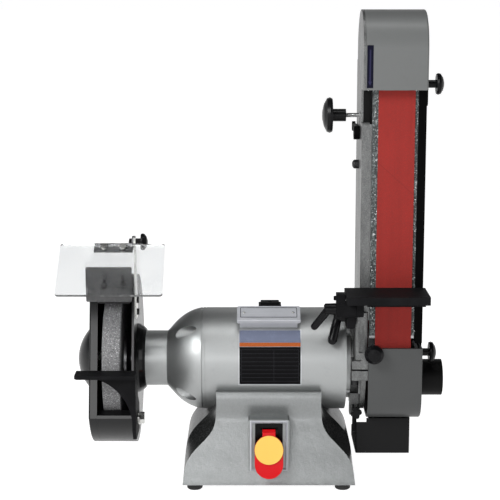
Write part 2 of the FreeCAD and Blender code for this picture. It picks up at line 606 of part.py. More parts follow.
def slot_x(r, y0, y1, z, x0, x1):
    return fuse(cyl_x(r, x0, x1, y0, z), cyl_x(r, x0, x1, y1, z), box(x0, x1, y0, y1, z - r, z + r))


def slot_y(r, z0, z1, x, y0, y1):
    return fuse(cyl_y(r, y0, y1, x, z0), cyl_y(r, y0, y1, x, z1), box(x - r, x + r, y0, y1, z0, z1))


def make_arrestor():
    plate = rounded(box(-257, -192.5, -68.4, -65.9, 266, 314), 2.0, along(Y_DIR))
    node("spark_arrestor", cut(plate, *[slot_y(2.4, 286, 301, x, -70, -60) for x in SLIDE_SCREW_XS]))


def make_shield():
    bar = prism_x(
        [(-52, 238), (-30, 238), (-34, 276), (-45, SHIELD_Z), (-59, SHIELD_Z), (-57, 300)], -189.75,
        -187.35,
    )
    bar = fuse(bar, cyl_x(9.0, -189.75, -187.35, SHIELD_Y, SHIELD_Z))
    node(
        "shield_arm",
        cut(
            bar, cyl_x(3.08, -192, -185, SHIELD_Y, SHIELD_Z),
            *[cyl_x(2.2, -192, -185, y, z) for y, z in ARM_RIVETS],
        ),
    )

    def leaned(shape):
        shape.rotate(V(0, SHIELD_Y, SHIELD_Z), X_DIR, SHIELD_LEAN)
        return shape

    # Drawn flat, reaching towards -Y from the pivot, then leaned down.
    top = SHIELD_Z + SHIELD_RISE
    glass = box(SHIELD_X0, SHIELD_X1, SHIELD_Y - 13.2 - SHIELD_L, SHIELD_Y - 13.2, top - SHIELD_T, top)
    glass = rounded(glass, 4.0, along(Z_DIR))
    rivets = [(x, SHIELD_Y - 19) for x in RIVET_XS]
    glass = cut(glass, *[cyl_z(2.55, top - 10, top + 10, x, y) for x, y in rivets])
    node("eye_shield", leaned(glass))
    strip = box(-244, -189.9, SHIELD_Y - 26, SHIELD_Y - 8, top - SHIELD_T - 2.05, top - SHIELD_T - 0.05)
    tab = fuse(
        cyl_x(9.0, -192.2, -189.9, SHIELD_Y, SHIELD_Z),
        box(-192.2, -189.9, SHIELD_Y - 14, SHIELD_Y, SHIELD_Z - 2.5, top - SHIELD_T - 0.05),
    )
    bracket = cut(fuse(strip, tab), *[cyl_z(2.55, top - 10, top + 10, x, y) for x, y in rivets])
    node("shield_bracket", leaned(cut(bracket, cyl_x(3.08, -195, -185, SHIELD_Y, SHIELD_Z))))
    node("shield_rivets", *[
        leaned(
            fuse(
                cyl_z(2.5, top - 8, top + 1, x, y), cyl_z(5.0, top + 0.05, top + 2.6, x, y),
                cyl_z(4.4, top - 8.6, top - 6.1, x, y),
            )
        )
        for x, y in rivets
    ])
    knob = knob_x(-187.2, -180.0, -170.5, 3.0, -197.0, 12.5, 5.5, SHIELD_Y, SHIELD_Z)
    nut = cut(hex_x(10, -196.4, -192.4, SHIELD_Y, SHIELD_Z), cyl_x(2.9, -200, -190, SHIELD_Y, SHIELD_Z))
    node("shield_knob", fuse(knob, nut))


# ---------------------------------------------------------------- belt arm
def make_drive():
    x0, x1 = BELT_X - 26.5, BELT_X + 26.5
    hub = turned([
        (x0 + 0.2, SHAFT_R + 0.02), (x0 + 0.2, 18), (x0 + 16, 18), (x0 + 19, 50), (x0 + 2, 52),
        (x0 + 2, 56.5), (x1 - 2, 56.5), (x1 - 2, 52),
        (x1 - 19, 50), (x1 - 16, 18), (x1 - 0.2, 18), (x1 - 0.2, SHAFT_R + 0.02),
    ])
    spacer = ring_x(JOURNAL_R + 1, SHAFT_R + 0.02, 146.1, x0 + 0.3)
    node("drive_wheel", fuse(hub, spacer))
    node("drive_wheel_tyre", turned([
        (x0 + 2, 56.55), (x0 + 2, DRIVE_R - 1.5), (x0 + 6, DRIVE_R), (x1 - 6, DRIVE_R),
        (x1 - 2, DRIVE_R - 1.5), (x1 - 2, 56.55),
    ]))


def make_belt():
    x0 = BELT_X - BELT_W / 2
    outer = belt_face(LOOP_R1 + BELT_T, LOOP_R2 + BELT_T, x0).extrude(V(BELT_W, 0, 0))
    inner = belt_face(LOOP_R1, LOOP_R2, x0 - 1).extrude(V(BELT_W + 2, 0, 0))
    node("abrasive_belt", outer.cut(inner))


def make_arm():
    x0, x1 = ARM_X0, ARM_X0 + ARM_WEB
    web = fuse(
        box(x0, x1, ARM_FRONT, ARM_BACK, 235, 600), box(x0, x1, -80, 30, 563, IDLER_Z),
        cyl_x(CAP_R, x0, x1, IDLER_Y, IDLER_Z),
        prism_x([(-62, 240), (38, 240), (70, 190), (60, 130), (-60, 130), (-70, 190)], x0, x1),
    )
    web = cut(
        web, box(x0 - 1, x1 + 1, -70, -46, 516, 562.9),
        slot_z_x(5.0, TRACK_Y, TRACK_Z - 11, TRACK_Z + 2, x0 - 2, x1 + 2),
        box(x0 - 1, x1 + 1, ARM_BACK - 0.1, 60, 500, 563), cyl_x(6.1, x0 - 1, x1 + 1, LEVER_Y, LEVER_Z),
    )
    front = box(x0, x0 + 14, ARM_FRONT, ARM_FRONT + 3, 238, 515)
    back = box(x0, x0 + 14, ARM_BACK - 3, ARM_BACK, 235, 500)
    lugs = [box(x0 + 1, 162, -57.4, -49, z - 9, z + 9) for z in LUG_ZS]
    post = cyl_x(4.5, x0 + 1, 214.2, POST_Y, POST_Z)
    guides = [box(x1 - 0.5, x1 + 9.5, y, y + 4, 500, 560) for y in (-44.2, -4.0)]
    ledge = box(x1 - 0.5, 138.6, -41, -7, 471, 476)
    disc = cyl_x(74.0, 131, 137.5)
    collar = cyl_x(53.0, 117.6, 131)
    column = rounded(box(121, 140, -70, -46, 178, 250), 5.0, along(Z_DIR))
    groove = box(127.5, 133.5, -75, -66, 192, 232)
    ears = rounded(box(117.6, 140.3, -73, -44, 152, 182), 2.0, along(X_DIR))
    bar = box(137, 212, -72.7, -67.2, 186, 199)
    bracket = box(207, 212, -72.7, -24, 177, 199)
    tray_lug = fuse(
        box(118, 133, -29.2, -12, 90, 106),
        box(118, 133, -29.2, -12, 106, 122).cut(cyl_x(50, 110, 140)),
    )
    arm = fuse(
        web, front, back, disc, collar, column, ears, post, bar, bracket, tray_lug, ledge, *lugs,
        *guides,
    )
    arm = cut(
        arm, cyl_x(RIGHT_NECK_R + 0.08, 100, RIGHT_NECK_END + 0.6), cyl_x(16, 120, 140), groove,
        box(110, 144, -80, -30, AXIS_Z - 1.2, AXIS_Z + 1.2), cyl_z(3.02, 140, 179, CLAMP_X, CLAMP_Y),
        cyl_x(3.0, 200, 216, POST_Y, POST_Z), cyl_x(3.05, 205, 213, *LOWER_KNOB),
        cyl_x(4.08, 115, 135, SLIDE_Y, SLIDE_Z),
        cyl_y(2.56, -40, -10, *TRAY_SCREW), cyl_z(3.05, 100, 130, SET_SCREW_X, 0),
        cyl_z(6.0, 105, 118.5, SET_SCREW_X, 0),
        cyl_y(3.06, -75, -60, *GUARD_KNOB),
    )
    node("arm_frame", max(arm.Solids, key=lambda s: s.Volume))
    clamp = fuse(
        cyl_z(5.4, 144.0, 151.9, CLAMP_X, CLAMP_Y), cyl_z(3.0, 151, 178, CLAMP_X, CLAMP_Y),
    ).cut(hexagon_z(5, 143, 147, CLAMP_X, CLAMP_Y))
    set_screw = fuse(cyl_z(5.6, 103.0, 112.0, SET_SCREW_X, 0), cyl_z(3.0, 110, 125.8, SET_SCREW_X, 0))
    anchor = turned(
        [(119.0, 0), (119.0, 3.0), (120.5, 5.6), (122.0, 6.4), (127.9, 6.4), (127.9, 0)], -10, 454,
    ).cut(hex_x(4, 118, 121.5, -10, 454))
    node("arm_screws", clamp, set_screw, anchor)


def slot_z_x(r, y, z0, z1, x0, x1):
    return fuse(cyl_x(r, x0, x1, y, z0), cyl_x(r, x0, x1, y, z1), box(x0, x1, y - r, y + r, z0, z1))


def hexagon_z(across_flats, z0, z1, x, y):
    r = across_flats / math.sqrt(3)
    pts = [
        V(x + r * math.cos(math.radians(a)), y + r * math.sin(math.radians(a)), z0)
        for a in range(0, 360, 60)
    ]
    return polygon(pts).extrude(V(0, 0, z1 - z0))


def make_platen():
    plate = box(PLATEN_X0, PLATEN_X1, -62.4, -57.5, 212, 577)
    node("platen", rounded(plate, 3.0, along(X_DIR)))
    node("platen_pad", rounded(box(PLATEN_X0, PLATEN_X1, -63.55, -62.45, 216, 573), 0.5, along(X_DIR)))


def make_lower_guard():
    x0, x1 = 140.6, HOUSING_X1

    def shape(wall, a, b):
        block = box(a, b, -LOWER_R + wall, LOWER_R - wall, LOWER_Z + wall, LOWER_TOP)
        return rounded(block, LOWER_CORNER - wall, lambda e: along(X_DIR)(e) and e.BoundBox.ZMax < AXIS_Z)

    shell = rounded(
        shape(0.0, x0, x1), 2.0,
        lambda e: e.BoundBox.XMin > x1 - 1e-3 and e.BoundBox.ZMin < LOWER_TOP - 1,
    )
    inner = shape(SHEET, x0 - 1, x1 - SHEET)
    shell = cut(
        shell, inner,
        box(x0 - 1, x1 - SHEET, SHEET - LOWER_R, LOWER_R - SHEET, LOWER_TOP - 5, LOWER_TOP + 5),
    )
    shell = cut(
        shell, cyl_x(PORT_R - 2.2, x1 - 5, x1 + 5, *PORT), cyl_x(3.3, 210, 220, *LOWER_KNOB),
        cyl_y(3.3, -80, -70, *GUARD_KNOB),
        box(152, 200, -22, 22, 85, 96),
    )
    node("lower_guard", shell)
    port = turned([
        (x1 + 0.05, PORT_R - 2.2), (x1 + 0.05, PORT_R + 3.5), (x1 + 2.2, PORT_R + 3.5),
        (x1 + 2.2, PORT_R), (x1 + 36.5, PORT_R),
        (x1 + 36.5, PORT_R - 3.0), (x1 + 2, PORT_R - 2.2),
    ], *PORT)
    node("dust_port", port)
    head = turned_y([
        (-76.1, 0), (-76.1, 6.2), (-84, 6.6), (-84, 12.4), (-87, 13.6), (-91, 13.2), (-95.5, 9.0),
        (-96.5, 3.5), (-96.5, 0),
    ], *GUARD_KNOB)
    node("guard_knob", fuse(head, cyl_y(3.0, -77, -67.8, *GUARD_KNOB)))
    node(
        "cover_knob_lower",
        knob_x(HOUSING_X1 + TAB_T + 0.1, 231.0, 241.5, 2.97, 207.5, 15.0, 5.5, *LOWER_KNOB),
    )


def make_door():
    x0, x1 = ARM_X0 + ARM_WEB + 0.3, HOUSING_X1

    def shape(r, a, b, low):
        whole = fuse(cyl_x(r, a, b, IDLER_Y, IDLER_Z), box(a, b, IDLER_Y - r, IDLER_Y + r, low, IDLER_Z))
        return whole.cut(box(a - 1, b + 1, -90, 90, low - 20, low))

    cap = rounded(
        shape(CAP_R, x0, x1, CAP_LIP), 2.5,
        lambda e: e.BoundBox.XMin > x1 - 1e-3 and e.BoundBox.ZMax > CAP_LIP + 1,
    )
    cap = cap.cut(shape(CAP_R - SHEET, x0 - 1, x1 - SHEET, CAP_LIP - 5))
    cap = cut(cap, cyl_x(3.3, 210, 220, POST_Y, POST_Z))
    node("upper_cap", cap)
    plate = box(x1 - SHEET, x1, -66.0, 40, 206, 562.5)
    flange = box(206.0, x1, -66.4, -64.2, 206, 562.5)
    rear = box(205.2, x1, 38, 40, 206, 562.5)
    cover = rounded(
        fuse(plate, flange, rear), 1.5, lambda e: along(Z_DIR)(e) and abs(e.BoundBox.XMin - x1) < 1e-3,
    )
    tabs = [
        rounded(
            box(x1 - 0.5, x1 + TAB_T, y - 13, y + 13, z0, z1), 6.0, along(X_DIR),
        ).cut(box(x1 - 1, x1 + 0.3, -90, 90, *clear))
        for y, z0, z1, clear in ((POST_Y + 3, 540, 583, (562.5, 600)), (-30, 171, 228, (150, 206)))
    ]
    holes = [cyl_x(3.3, 210, 222, y, z) for y, z in ((POST_Y, POST_Z), LOWER_KNOB)]
    node("side_cover", cut(fuse(cover, *tabs), *holes))
    node("cover_knob_upper", knob_x(x1 + TAB_T + 0.1, 231.0, 241.5, 2.93, 203.0, 15.0, 5.5, POST_Y, POST_Z))


def make_tray():
    outer = fuse(box(126.2, 204, -46, 46, TRAY_Z, 83.5), box(141.5, 204, -46, 46, 83, 89.5))
    outer = rounded(outer, 2.5, along(Z_DIR))
    inner = box(128.2, 202, -44, 44, TRAY_Z + 2, 95)
    rail = [box(141.5, 202.5, y, y + 6, 87.5, 89.5) for y in (-44.5, 38.5)]
    # the left wall falls away towards the back, so the tray can be looked into from the side
    slope = prism_x([(-43.9, 90), (-43.9, 83.5), (47, 52), (47, 90)], 126, 151.2)
    tab = cut(
        fuse(box(121.9, 128.2, -32.0, -29.5, 66, 92), box(121.9, 130.6, -32.0, -29.5, 88, 106)),
        cyl_y(2.7, -40, -20, *TRAY_SCREW),
        box(TRAY_SCREW[0] - 2.7, TRAY_SCREW[0] + 2.7, -40, -20, TRAY_SCREW[1], 110),
    )
    node("spark_tray", fuse(cut(fuse(outer.cut(inner), *rail), slope), tab))
    lobes = [
        cyl_y(
            3.4, -46.0, -40.4, TRAY_SCREW[0] + 4.9 * math.cos(math.radians(a)),
            TRAY_SCREW[1] + 4.9 * math.sin(math.radians(a)),
        )
        for a in (15, 105, 195, 285)
    ]
    star = fuse(cyl_y(5.6, -46.6, -40.1, *TRAY_SCREW), *lobes)
    node(
        "tray_thumbscrew",
        fuse(star, cyl_y(4.0, -40.5, -32.2, *TRAY_SCREW), cyl_y(2.5, -33, -15, *TRAY_SCREW)),
    )


def clamp_lever(y, z, x_stud, x_hub, x_top, reach, swing, lean, grip=5.2):
    """Adjustable clamping lever on an X axis. Its arm leaves the hub's left end and leans outwards."""
    stud = cyl_x(4.0, x_hub - 3, x_stud, y, z)
    hub = turned([(x_top, 0), (x_top, 5.5), (x_top + 2, 7.8), (x_hub, 8.2), (x_hub, 0)], y, z)
    arm = Part.makeCone(
        6.0, grip, reach, V(x_top + 6.5, y, z),
        V(-math.sin(math.radians(lean)), 0, -math.cos(math.radians(lean))),
    )
    tip = Part.makeSphere(
        grip,
        V(x_top + 6.5 - reach * math.sin(math.radians(lean)), y, z - reach * math.cos(math.radians(lean))),
    )
    arm = fuse(arm, tip)
    arm.rotate(V(0, y, z), X_DIR, swing)
    return fuse(hub, arm, stud)


def make_table():
    plate = box(TABLE_X0, TABLE_X1, TABLE_Y0, TABLE_Y1, TABLE_TOP - TABLE_T, TABLE_TOP)
    plate = rounded(plate, 1.5, along(Z_DIR))
    ribs = [box(134, 214, y, y + 4, TABLE_TOP - TABLE_T - 4, TABLE_TOP - TABLE_T + 1) for y in (-126, -84)]
    ear = fuse(
        cyl_x(11.5, 120.8, 130.8, TILT_Y, TILT_Z),
        box(120.8, 130.8, TILT_Y - 11.5, TILT_Y + 11.5, TILT_Z, 276),
    )
    node("work_table", cut(fuse(plate, ear, *ribs), cyl_x(4.08, 118, 133, TILT_Y, TILT_Z)))

    hub = cyl_x(12.0, 93.0, 120.4, TILT_Y, TILT_Z)
    link = prism_x(
        [(-97, 250.2), (-92, 272), (-84, 272.5), (-43, 258), (-43, 233), (-92, 233)], 108.4, 120.4,
    )
    stop = rounded(box(93.0, 105.2, -104, -86, 262, 284), 1.5, along(X_DIR))
    stop_screw = cyl_x(3.2, 89.5, 94, -95, 277)
    bracket = fuse(hub, link, stop, stop_screw)
    slot = slot_x(4.2, SLIDE_Y, SLIDE_Y + SLIDE_TRAVEL + 1, SLIDE_Z, 90, 125)
    node("table_bracket", cut(bracket, cyl_x(4.08, 90, 125, TILT_Y, TILT_Z), slot))
    node("table_tilt_lever", clamp_lever(TILT_Y, TILT_Z, 131.5, 92.8, 76.0, 34.0, 18.0, 34.0))
    node("table_slide_lever", clamp_lever(SLIDE_Y, SLIDE_Z, 133.0, 108.1, 91.5, 35.0, -20.0, 14.0, 6.6))


# ---------------------------------------------------------------- belt tension and tracking
def coil_spring(x, y, z, turns=8, pitch=3.0, radius=2.5, wire=0.6):
    helix = Part.makeHelix(pitch, pitch * turns, radius)
    profile = Part.Wire([Part.makeCircle(wire, V(radius, 0, 0), V(0, 1, 0))])
    spring = Part.Wire(helix).makePipeShell([profile], True, True)
    spring.translate(V(x, y, z))
    return spring


def make_tension():
    slider = fuse(
        box(132.0, 137.6, -39.6, -4.4, 502, 590), box(134.0, 137.6, -30, -18, 560, 606),
        cyl_y(2.0, IDLER_Y - 14, IDLER_Y + 14, LEAN_X, LEAN_Z),
        *[box(134.0, 145.8, y, y + 4, LEAN_Z - 5, LEAN_Z + 5) for y in (IDLER_Y - 14, IDLER_Y + 10)],
    )
    slider = cut(
        slider, cyl_x(3.06, 128, 142, TRACK_Y, TRACK_Z), box(131, 137.7, -31, -17, 500, 516),
        box(130, 134.0, -20, -4, 590, 600),
    )
    node("tension_slider", slider)
    carrier = fuse(
        box(140.2, 145.8, -33, -17, 504, 628), cyl_x(12, 140.2, 145.8, IDLER_Y, IDLER_Z),
        cyl_x(7.94, 145.8, 208, IDLER_Y, IDLER_Z),
        cyl_x(11.0, 145.8, 148.4, IDLER_Y, IDLER_Z),
    ).cut(cyl_y(2.06, -60, 10, LEAN_X, LEAN_Z))
    node("idler_axle", carrier)
    x0, x1 = BELT_X - 26.5, BELT_X + 26.5
    node("idler_wheel", turned([
        (x0, 8.0), (x0, 14), (x0 + 6, 14), (x0 + 8, 33), (x0, 33.5), (x0, IDLER_R - 1.2),
        (x0 + 8, IDLER_R), (x1 - 8, IDLER_R), (x1, IDLER_R - 1.2),
        (x1, 33.5), (x1 - 8, 33), (x1 - 6, 14), (x1, 14), (x1, 8.0),
    ], IDLER_Y, IDLER_Z))
    node("tracking_knob", knob_x(108.0, 89.0, 75.0, 3.0, 139.4, 25.0, 8.8, TRACK_Y, TRACK_Z))
    node(
        "tension_spring",
        *[coil_spring(134.8, LEVER_Y + dy, SPRING_Z) for dy in (-SPRING_SPREAD, SPRING_SPREAD)],
    )
    lever = fuse(
        cyl_x(6.0, 124.0, 139.0, LEVER_Y, LEVER_Z), cyl_x(9.5, 119.5, 127.6, LEVER_Y, LEVER_Z),
        prism_x(
            [
                (LEVER_Y - 6, LEVER_Z - 8), (LEVER_Y + 82, LEVER_Z - 2.5), (LEVER_Y + 82, LEVER_Z + 7),
                (LEVER_Y, LEVER_Z + 9),
            ],
            123.4, 127.4,
        ),
        cyl_x(7.0, 122.8, 127.5, LEVER_Y + 80, LEVER_Z + 2.5),
    )
    node("tension_lever", lever)


def main():
    make_base()
    make_switch()
    make_base_fittings()
    make_motor()
    make_motor_trim()
    make_wheel_guard()
    make_wheel()
    make_tool_rest()
    make_arrestor()
    make_shield()
    make_drive()
    make_belt()
    make_arm()
    make_platen()
    make_lower_guard()
    make_door()
    make_tray()
    make_table()
    make_tension()
    for name, solids in sorted(NODES.items()):
        shape = solids[0] if len(solids) == 1 else Part.makeCompound(solids)
        shape.exportStep(os.path.join(OUT, name + ".step"))
        volume = sum(s.Volume for s in solids) / 1000
        flags = "" if all(s.isValid() and s.Volume > 0 for s in solids) else "  INVALID"
        print(
            f"{name:22s} solids {len(solids):2d} volume {volume:9.1f} cm3{flags}"
        )
    print(len(NODES), "nodes")


main()
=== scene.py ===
"""Looks of the bench grinder with an upright belt sander. Metres, in the CAD's own frame."""

import math

import bmesh
import bpy
from mathutils import Matrix, Vector


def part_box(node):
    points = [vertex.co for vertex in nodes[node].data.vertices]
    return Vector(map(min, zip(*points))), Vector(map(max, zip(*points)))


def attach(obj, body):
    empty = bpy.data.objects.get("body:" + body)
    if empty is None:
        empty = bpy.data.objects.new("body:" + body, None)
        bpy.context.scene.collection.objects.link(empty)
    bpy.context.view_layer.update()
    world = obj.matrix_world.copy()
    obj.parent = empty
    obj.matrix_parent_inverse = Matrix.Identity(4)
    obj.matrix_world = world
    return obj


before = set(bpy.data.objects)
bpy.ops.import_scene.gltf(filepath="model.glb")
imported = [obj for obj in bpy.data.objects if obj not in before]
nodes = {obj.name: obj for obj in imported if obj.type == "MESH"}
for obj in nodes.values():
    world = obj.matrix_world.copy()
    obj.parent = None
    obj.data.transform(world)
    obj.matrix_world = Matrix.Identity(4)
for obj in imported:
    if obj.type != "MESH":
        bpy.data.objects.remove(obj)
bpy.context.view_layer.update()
MM = 0.001

# ---------------------------------------------------------------- places read from the frame
AXIS_Z = sum(v.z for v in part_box("motor_shell")) / 2
MOTOR_R = (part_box("motor_shell")[1].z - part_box("motor_shell")[0].z) / 2

# Millimetres and degrees on the machine, unless a comment says metres.
PLATE_X, PLATE_ANGLES = (-43.0, 46.5), (-17.6, 46.8)
BADGE_TILT, BADGE_R = 58.0, 90.0            # the badge leans back, and its face is this far from the axis
PAD_FRONT = -102.0                          # front of the raised pad under the switch
SOFT_EDGES = {
    "base_casting": 2.2, "tool_rest": 0.8, "work_table": 0.7, "arm_frame": 0.6, "table_bracket": 0.8,
}
STRIP = (132.6, 141.2, 566.0, 624.0)        # x0, x1, z0, z1 of the arrow strip
CAP_SHADE_Z, ARM_WEB_X = 0.516, 0.1312      # above and right of these, metres, the arm is inside the cap and is painted near-black as shade
TRACKING_STUD_X = 0.1085                    # the tracking knob's bright stud starts here, metres
JOINT_SLANT, JOINT_HEIGHT, JOINT_HALF_WIDTH = 0.9, 0.598, 0.0006    # the belt's butt joint, metres


# ---------------------------------------------------------------- shader helpers
class Look:
    """A Principled material and short calls for the texture nodes that feed it."""

    def __init__(self, name, **sockets):
        self.material = bpy.data.materials.new(name)
        self.material.use_nodes = True
        self.tree = self.material.node_tree
        self.bsdf = self.tree.nodes["Principled BSDF"]
        for socket, value in sockets.items():
            self.bsdf.inputs[socket.replace("_", " ")].default_value = value
        self.place = self.add("ShaderNodeTexCoord").outputs["Object"]

    def add(self, kind, inputs=None, **settings):
        made = self.tree.nodes.new(kind)
        for key, value in settings.items():
            setattr(made, key, value)
        for key, value in (inputs or {}).items():
            self.feed(made.inputs[key], value)
        return made

    def feed(self, socket, value):
        if isinstance(value, bpy.types.NodeSocket):
            self.tree.links.new(value, socket)
        else:
            socket.default_value = value

    def stretched(self, x, y, z):
        return self.add("ShaderNodeMapping", {"Vector": self.place, "Scale": (x, y, z)}).outputs["Vector"]

    def noise(self, scale, detail=3.0, rough=0.55, at=None):
        inputs = {"Vector": at or self.place, "Scale": scale, "Detail": detail, "Roughness": rough}
        return self.add("ShaderNodeTexNoise", inputs).outputs["Fac"]

    def cells(self, scale, output="Distance"):
        made = self.add("ShaderNodeTexVoronoi", {"Vector": self.place, "Scale": scale})
        return made.outputs[output]

    def math(self, operation, a, b=0.0):
        return self.add("ShaderNodeMath", {0: a, 1: b}, operation=operation).outputs[0]

    def ramp(self, fac, *stops):
        """Colour ramp from (position, colour or grey) stops."""
        made = self.add("ShaderNodeValToRGB", {"Fac": fac})
        elements = made.color_ramp.elements
        while len(elements) < len(stops):
            elements.new(0.5)
        for element, (position, colour) in zip(elements, stops):
            element.position = position
            element.color = (*colour, 1.0) if isinstance(colour, tuple) else (colour, colour, colour, 1.0)
        return made.outputs["Color"]

    def mix(self, fac, a, b):
        made = self.add("ShaderNodeMix", data_type="RGBA")
        self.feed(made.inputs["Factor"], fac)
        self.feed(made.inputs["A"], a if not isinstance(a, tuple) else (*a, 1.0))
        self.feed(made.inputs["B"], b if not isinstance(b, tuple) else (*b, 1.0))
        return made.outputs["Result"]

    def axis(self, letter):
        """One coordinate of the place on the object, in metres."""
        return self.add("ShaderNodeSeparateXYZ", {"Vector": self.place}).outputs[letter]

    def bump(self, height, strength=0.3, depth=0.0005, under=None):
        made = self.add("ShaderNodeBump", {"Height": height, "Strength": strength, "Distance": depth})
        if under is not None:
            self.feed(made.inputs["Normal"], under)
        return made.outputs["Normal"]

    def spread(self, value, low, high, **more):
        """Maps a 0 to 1 value onto low to high."""
        ends = {"Value": value, "To Min": low, "To Max": high, **more}
        return self.add("ShaderNodeMapRange", ends).outputs[0]

    def finish(self, colour=None, rough=None, normal=None, metallic=None):
        values = {"Base Color": colour, "Roughness": rough, "Normal": normal, "Metallic": metallic}
        for socket, value in values.items():
            if value is not None:
                self.feed(self.bsdf.inputs[socket], value if not isinstance(value, tuple) else (*value, 1.0))
        return self.material


def shade(value, by):
    return tuple(min(1.0, c * by) for c in value)


# ---------------------------------------------------------------- materials
def silver_paint(name, tone, rough, metallic, peel, painted_shade_flanks=False):
    """Metallic grey enamel: flake sparkle, faint orange peel, broad tonal drift.

    With the flag set it gets a sand-cast mottle, and its side faces, whose normals point along X, carry
    painted shade: they are painted nearly black.
    """
    look = Look(name, Metallic=metallic, Coat_Weight=0.12, Coat_Roughness=0.25)
    flake = look.cells(1900.0, output="Color")
    drift = look.noise(9.0, 4.0)
    grime = look.noise(55.0, 6.0, 0.65)
    base = look.mix(look.math("MULTIPLY", flake, 0.22), shade(tone, 0.93), shade(tone, 1.18))
    base = look.mix(look.ramp(drift, (0.35, 0.0), (0.75, 0.16)), base, shade(tone, 0.72))
    base = look.mix(look.ramp(grime, (0.58, 0.0), (0.80, 0.22)), base, shade(tone, 0.55))
    if painted_shade_flanks:
        sand = look.noise(320.0, 6.0, 0.8)
        base = look.mix(look.ramp(sand, (0.40, 0.0), (0.70, 0.40)), base, shade(tone, 0.62))
        # Painted shade: faces whose normals point along X are painted nearly black, with a faint speckle.
        normal = look.add("ShaderNodeNewGeometry").outputs["Normal"]
        facing = look.add("ShaderNodeSeparateXYZ", {"Vector": normal})
        flank = look.ramp(look.math("ABSOLUTE", facing.outputs["X"]), (0.30, 0.0), (0.42, 1.0))
        flank_shade_colour = look.ramp(look.noise(420.0, 4.0, 0.7), (0.45, shade(tone, 0.10)), (0.75, shade(tone, 0.5)))
        base = look.mix(flank, base, flank_shade_colour)
    roughness = look.spread(grime, rough - 0.05, rough + 0.12)
    skin = look.bump(look.noise(520.0, 2.0), peel, 0.00035)
    cast = look.bump(look.noise(95.0, 5.0, 0.6), peel * 0.9, 0.0012, skin)
    return look.finish(base, roughness, cast)


def black_enamel(name, rough=0.22, tone=(0.012, 0.012, 0.013)):
    """Gloss black paint with fine dust, light wear streaks and orange peel."""
    look = Look(name, Coat_Weight=0.35, Coat_Roughness=0.07, Specular_IOR_Level=0.05)
    dust = look.noise(140.0, 7.0, 0.7)
    colour = look.mix(look.ramp(dust, (0.55, 0.0), (0.85, 0.5)), tone, shade(tone, 3.0))
    roughness = look.spread(dust, rough - 0.05, rough + 0.22)
    return look.finish(colour, roughness, look.bump(look.noise(420.0, 2.0), 0.12, 0.0003))


def powder_black(name, tone=(0.017, 0.017, 0.018), rough=0.42, grain=0.3):
    """Textured black powder coat."""
    look = Look(name, Specular_IOR_Level=0.03)
    bead = look.noise(1500.0, 2.0)
    patch = look.noise(40.0, 5.0)
    colour = look.mix(look.ramp(patch, (0.4, 0.0), (0.8, 0.6)), tone, shade(tone, 2.0))
    roughness = look.spread(patch, rough - 0.06, rough + 0.14)
    return look.finish(colour, roughness, look.bump(bead, grain, 0.0003))


def moulded_plastic(name, tone, rough=0.34, spread=0.10, grain=0.12, coat=0.0):
    """Injection-moulded plastic: fine spark-eroded grain, faint flow marks and handling wear."""
    look = Look(name, Specular_IOR_Level=0.12, Coat_Weight=coat, Coat_Roughness=0.1)
    flow = look.noise(18.0, 3.0, at=look.stretched(1.0, 1.0, 0.25))
    smear = look.noise(90.0, 6.0, 0.65)
    colour = look.mix(look.ramp(flow, (0.3, 0.0), (0.8, 0.5)), tone, shade(tone, 1.22))
    colour = look.mix(look.ramp(smear, (0.6, 0.0), (0.85, 0.35)), colour, shade(tone, 0.7))
    roughness = look.spread(smear, rough - spread / 2, rough + spread)
    return look.finish(colour, roughness, look.bump(look.noise(1700.0, 2.0), grain, 0.0002))


def brushed_metal(name, tone, along="X", rough=0.30, metallic=1.0, lines=900.0, depth=0.10):
    """Ground or brushed metal with fine parallel scratches along one axis."""
    look = Look(name, Metallic=metallic)
    squeeze = {"X": (0.02, 1.0, 1.0), "Y": (1.0, 0.02, 1.0), "Z": (1.0, 1.0, 0.02)}[along]
    scratch = look.noise(lines, 3.0, 0.7, at=look.stretched(*squeeze))
    stain = look.noise(45.0, 6.0, 0.6)
    colour = look.mix(look.ramp(scratch, (0.3, 0.0), (0.7, 0.6)), shade(tone, 0.82), shade(tone, 1.1))
    colour = look.mix(look.ramp(stain, (0.52, 0.0), (0.8, 0.4)), colour, shade(tone, 0.6))
    roughness = look.spread(scratch, rough - 0.08, rough + 0.14)
    return look.finish(colour, roughness, look.bump(scratch, depth, 0.0002))


def plated(name, tone=(0.62, 0.62, 0.60), rough=0.22):
    """Bright zinc plating, faintly cloudy."""
    look = Look(name, Metallic=1.0)
    cloud = look.noise(60.0, 5.0, 0.6)
    colour = look.mix(look.ramp(cloud, (0.4, 0.0), (0.7, 1.0)), shade(tone, 0.86), shade(tone, 1.12))
    roughness = look.spread(cloud, rough - 0.06, rough + 0.16)
    return look.finish(colour, roughness, look.bump(look.noise(700.0, 3.0), 0.06, 0.0002))


def grit(name, tone, spark, scale=1500.0, rough=0.85, depth=0.0005, strength=0.8, metallic=0.0, lift=1.35):
    """Bonded abrasive: packed grains with a few bright facets and dark pores."""
    look = Look(name, Metallic=metallic, Specular_IOR_Level=0.35)
    grain = look.cells(scale, output="Color")
    shape = look.cells(scale)
    pore = look.noise(scale * 0.35, 4.0, 0.7)
    lit = look.ramp(grain, (0.0, shade(tone, 0.45)), (0.5, tone), (0.80, shade(tone, lift)), (0.97, spark))
    colour = look.mix(look.ramp(pore, (0.56, 0.0), (0.74, 0.85)), lit, shade(tone, 0.25))
    roughness = look.spread(grain, rough - 0.2, rough + 0.1)
    return look.finish(colour, roughness, look.bump(shape, strength, depth))


